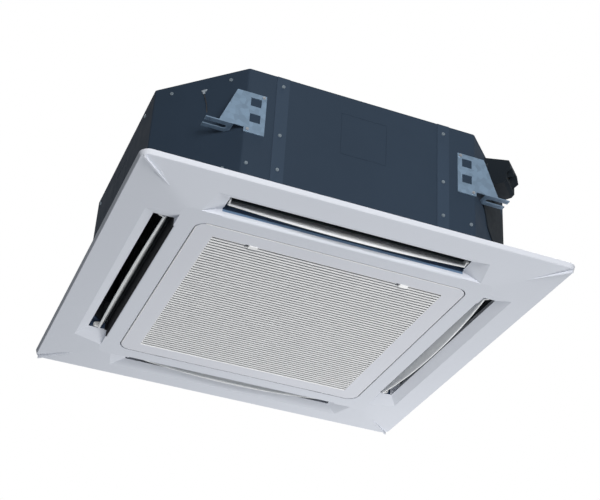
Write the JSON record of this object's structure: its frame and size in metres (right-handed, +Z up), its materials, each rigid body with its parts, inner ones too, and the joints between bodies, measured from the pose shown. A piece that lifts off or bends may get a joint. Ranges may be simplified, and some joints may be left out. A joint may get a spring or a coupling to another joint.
{
  "type": "ceiling cassette air conditioner",
  "caption": "Four-way ceiling cassette air conditioner: square panel with swing flaps and slatted intake grille under a boxed body with hanger brackets.",
  "frame": {"origin": "middle of the panel, in the plane of the ceiling's lower surface", "axes": "+Z up into the ceiling void, -Y towards the grille's latches, +Y towards its hinge, X along the intake slats"},
  "size_m": [0.95, 0.95, 0.33],
  "materials": {
    "panel_white": "satin off-white ABS",
    "flap_grey": "satin",
    "latch_white": "satin",
    "casing_slate": "dark grey baked coat",
    "galvanised": "zinc coated",
    "screw_steel": "zinc coated",
    "black_moulding": "fine grain",
    "foam_dark": "closed cell foam",
    "foam_white": "expanded polystyrene",
    "fin_aluminium": "thin pressed fins",
    "copper": "drawn tube",
    "brass": "turned",
    "duct_grey": "satin",
    "fan_plastic": "satin",
    "motor_resin": "cast resin",
    "pump_white": "satin",
    "hose_grey": "smooth",
    "board_green": "solder resist",
    "rubber_black": "matte",
    "mesh_dark": "woven mesh"
  },
  "bodies": {
    "unit": {"casing_wrap": "casing_slate", "casing_top": "casing_slate", "seam_strips": "casing_slate", "casing_screws": "screw_steel", "hanger_bracket_nl": "galvanised", "hanger_bracket_nr": "galvanised", "hanger_bracket_fl": "galvanised", "hanger_bracket_fr": "galvanised", "bracket_screws": "screw_steel", "side_insulation": "foam_dark", "top_insulation": "foam_dark", "drain_pan": "foam_white", "heat_exchanger": "fin_aluminium", "coil_end_plates": "galvanised", "coil_return_bends": "copper", "gas_line": "copper", "liquid_line": "copper", "flare_nuts": "brass", "pipe_cover": "black_moulding", "coil_baffle": "galvanised", "bell_mouth": "duct_grey", "fan_motor": "motor_resin", "motor_bushes": "rubber_black", "drain_pump": "pump_white", "pump_bracket": "galvanised", "drain_hose": "hose_grey", "drain_socket": "black_moulding", "float_stem": "pump_white", "control_box": "galvanised", "control_box_cover": "galvanised", "terminal_block": "latch_white", "circuit_board": "board_green", "cable_grommet": "rubber_black", "panel_frame": "panel_white", "panel_gasket": "foam_dark", "panel_screws": "screw_steel", "panel_brackets": "galvanised", "flap_motor_near": "pump_white", "flap_motor_right": "pump_white", "flap_motor_far": "pump_white", "flap_motor_left": "pump_white", "flap_bushes": "pump_white", "room_sensor": "latch_white", "hinge_pins": "screw_steel"},
    "fan": {"turbo_fan": "fan_plastic", "motor_shaft": "screw_steel", "fan_nut": "screw_steel"},
    "flap_near_body": {"flap_near": "flap_grey"},
    "flap_right_body": {"flap_right": "flap_grey"},
    "flap_far_body": {"flap_far": "flap_grey"},
    "flap_left_body": {"flap_left": "flap_grey"},
    "grille": {"intake_grille": "panel_white", "filter_frame": "duct_grey", "filter_mesh": "mesh_dark"},
    "latch_left_body": {"latch_left": "latch_white"},
    "latch_right_body": {"latch_right": "latch_white"},
    "float_body": {"float": "latch_white"}
  },
  "joints": [
    {"name": "fan_spin", "type": "hinge", "parent": "unit", "child": "fan", "pos_m": [0, 0, 0.2], "axis": [0, 0, 1], "continuous": true},
    {"name": "flap_near_swing", "type": "hinge", "parent": "unit", "child": "flap_near_body", "pos_m": [0, -0.3755, 0.00325], "axis": [-1, 0, 0], "range_deg": [-10, 55]},
    {"name": "flap_right_swing", "type": "hinge", "parent": "unit", "child": "flap_right_body", "pos_m": [0.3755, 0, 0.00325], "axis": [0, -1, 0], "range_deg": [-10, 55]},
    {"name": "flap_far_swing", "type": "hinge", "parent": "unit", "child": "flap_far_body", "pos_m": [0, 0.3755, 0.00325], "axis": [1, 0, 0], "range_deg": [-10, 55]},
    {"name": "flap_left_swing", "type": "hinge", "parent": "unit", "child": "flap_left_body", "pos_m": [-0.3755, 0, 0.00325], "axis": [0, 1, 0], "range_deg": [-10, 55]},
    {"name": "grille_hinge", "type": "hinge", "parent": "unit", "child": "grille", "pos_m": [0, 0.29, -0.018], "axis": [1, 0, 0], "range_deg": [0, 90]},
    {"name": "latch_left_slide", "type": "slide", "parent": "grille", "child": "latch_left_body", "axis": [-1, 0, 0], "range_m": [0, 0.008]},
    {"name": "latch_right_slide", "type": "slide", "parent": "grille", "child": "latch_right_body", "axis": [-1, 0, 0], "range_m": [0, 0.008]},
    {"name": "float_rise", "type": "slide", "parent": "unit", "child": "float_body", "axis": [0, 0, 1], "range_m": [0, 0.012]}
  ]
}
